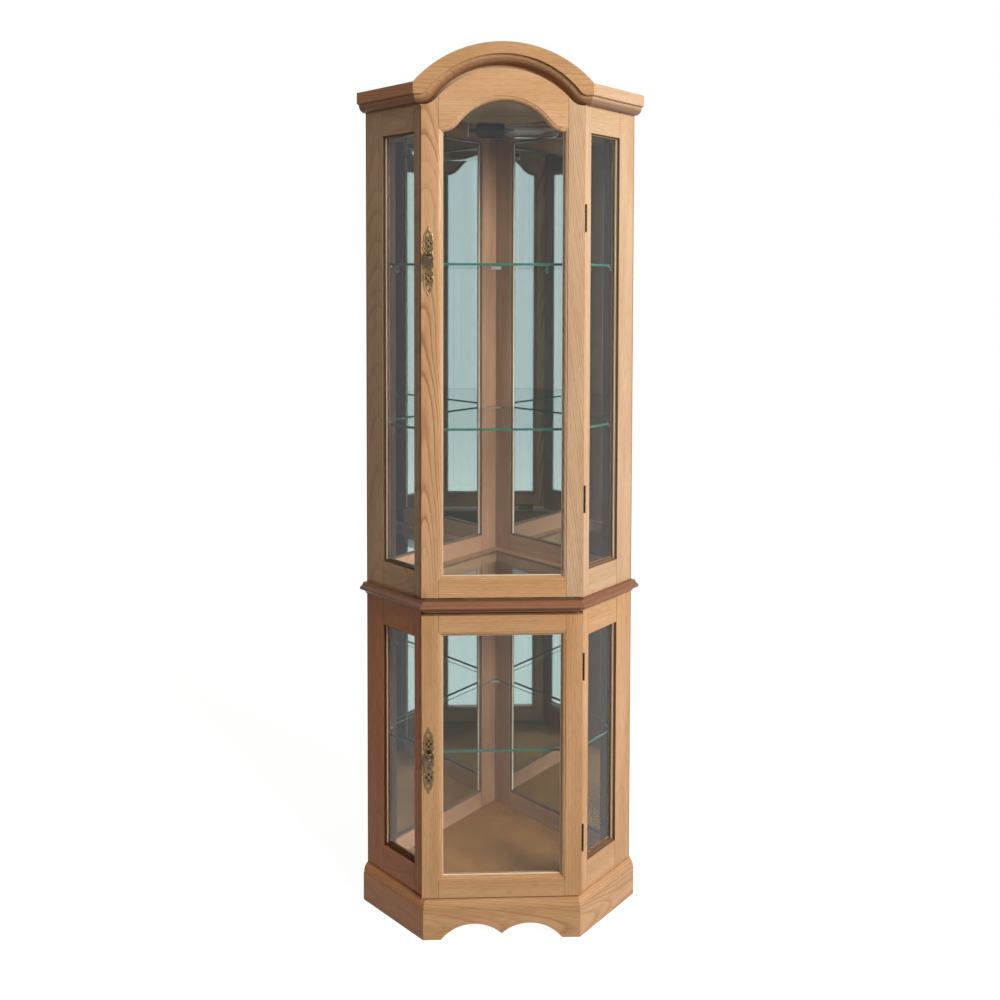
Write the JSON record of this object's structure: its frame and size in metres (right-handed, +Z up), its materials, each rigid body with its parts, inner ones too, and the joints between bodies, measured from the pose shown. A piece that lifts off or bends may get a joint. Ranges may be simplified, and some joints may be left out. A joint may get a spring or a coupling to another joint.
{
  "type": "corner curio cabinet",
  "caption": "Tall five-sided corner display cabinet with glazed doors and sides, an arched cornice, mirrored back, glass shelves and a lamp.",
  "frame": {"origin": "on the floor, under the middle of the bounding box", "axes": "+Z up, -Y out of the front through the doors, +X to the viewer's right, the hinge side"},
  "size_m": [0.61, 0.439, 1.829],
  "materials": {
    "oak": "satin lacquer, warm honey-brown oak",
    "back_board": "plain unlacquered board",
    "clear_glass": "polished, green at the edges",
    "mirror_glass": "silvered",
    "bulb_glass": "clear",
    "socket_phenolic": "black phenolic",
    "plated_steel": "zinc plated",
    "hinge_brass": "brushed",
    "antique_brass": "antiqued, dark in the hollows",
    "catch_plastic": "brown",
    "clip_plastic": "translucent"
  },
  "bodies": {
    "carcass": {"back_panels": "back_board", "bulb": "bulb_glass", "case_hinge_leaves": "hinge_brass", "cornice_front": "oak", "cornice_left": "oak", "cornice_right": "oak", "deck_frame": "oak", "deck_glass": "clear_glass", "floor_board": "oak", "header_board": "oak", "lamp_bracket": "plated_steel", "lamp_socket": "socket_phenolic", "lower_left_back_frame": "oak", "lower_left_mirror": "mirror_glass", "lower_left_side_frame": "oak", "lower_left_side_glass": "clear_glass", "lower_right_back_frame": "oak", "lower_right_mirror": "mirror_glass", "lower_right_side_frame": "oak", "lower_right_side_glass": "clear_glass", "lower_shelf": "clear_glass", "magnetic_catches": "catch_plastic", "middle_shelf": "clear_glass", "plinth_front": "oak", "plinth_left": "oak", "plinth_right": "oak", "shelf_clips": "clip_plastic", "top_panel": "oak", "top_shelf": "clear_glass", "upper_left_back_frame": "oak", "upper_left_mirror": "mirror_glass", "upper_left_side_frame": "oak", "upper_left_side_glass": "clear_glass", "upper_right_back_frame": "oak", "upper_right_mirror": "mirror_glass", "upper_right_side_frame": "oak", "upper_right_side_glass": "clear_glass", "waist_front": "oak", "waist_left": "oak", "waist_right": "oak"},
    "upper_door": {"upper_door_beads": "oak", "upper_door_bottom_rail": "oak", "upper_door_glass": "clear_glass", "upper_door_hinge_leaves": "hinge_brass", "upper_door_left_stile": "oak", "upper_door_right_stile": "oak", "upper_door_strike": "plated_steel", "upper_door_top_rail": "oak", "upper_handle_plate": "antique_brass"},
    "lower_door": {"lower_door_beads": "oak", "lower_door_bottom_rail": "oak", "lower_door_glass": "clear_glass", "lower_door_hinge_leaves": "hinge_brass", "lower_door_left_stile": "oak", "lower_door_right_stile": "oak", "lower_door_strike": "plated_steel", "lower_door_top_rail": "oak", "lower_handle_plate": "antique_brass"},
    "upper_pull": {"upper_handle_pull": "antique_brass"},
    "lower_pull": {"lower_handle_pull": "antique_brass"}
  },
  "joints": [
    {"name": "upper_door_hinge", "type": "hinge", "parent": "carcass", "child": "upper_door", "pos_m": [0.16818, -0.19279, 1.207], "axis": [0, 0, 1], "range_deg": [0, 115]},
    {"name": "lower_door_hinge", "type": "hinge", "parent": "carcass", "child": "lower_door", "pos_m": [0.16818, -0.19279, 0.376], "axis": [0, 0, 1], "range_deg": [0, 115]},
    {"name": "upper_pull_swing", "type": "hinge", "parent": "upper_door", "child": "upper_pull", "pos_m": [-0.15, -0.21155, 1.408], "axis": [-1, 0, 0], "range_deg": [0, 75]},
    {"name": "lower_pull_swing", "type": "hinge", "parent": "lower_door", "child": "lower_pull", "pos_m": [-0.15, -0.21155, 0.387], "axis": [-1, 0, 0], "range_deg": [0, 75]}
  ]
}
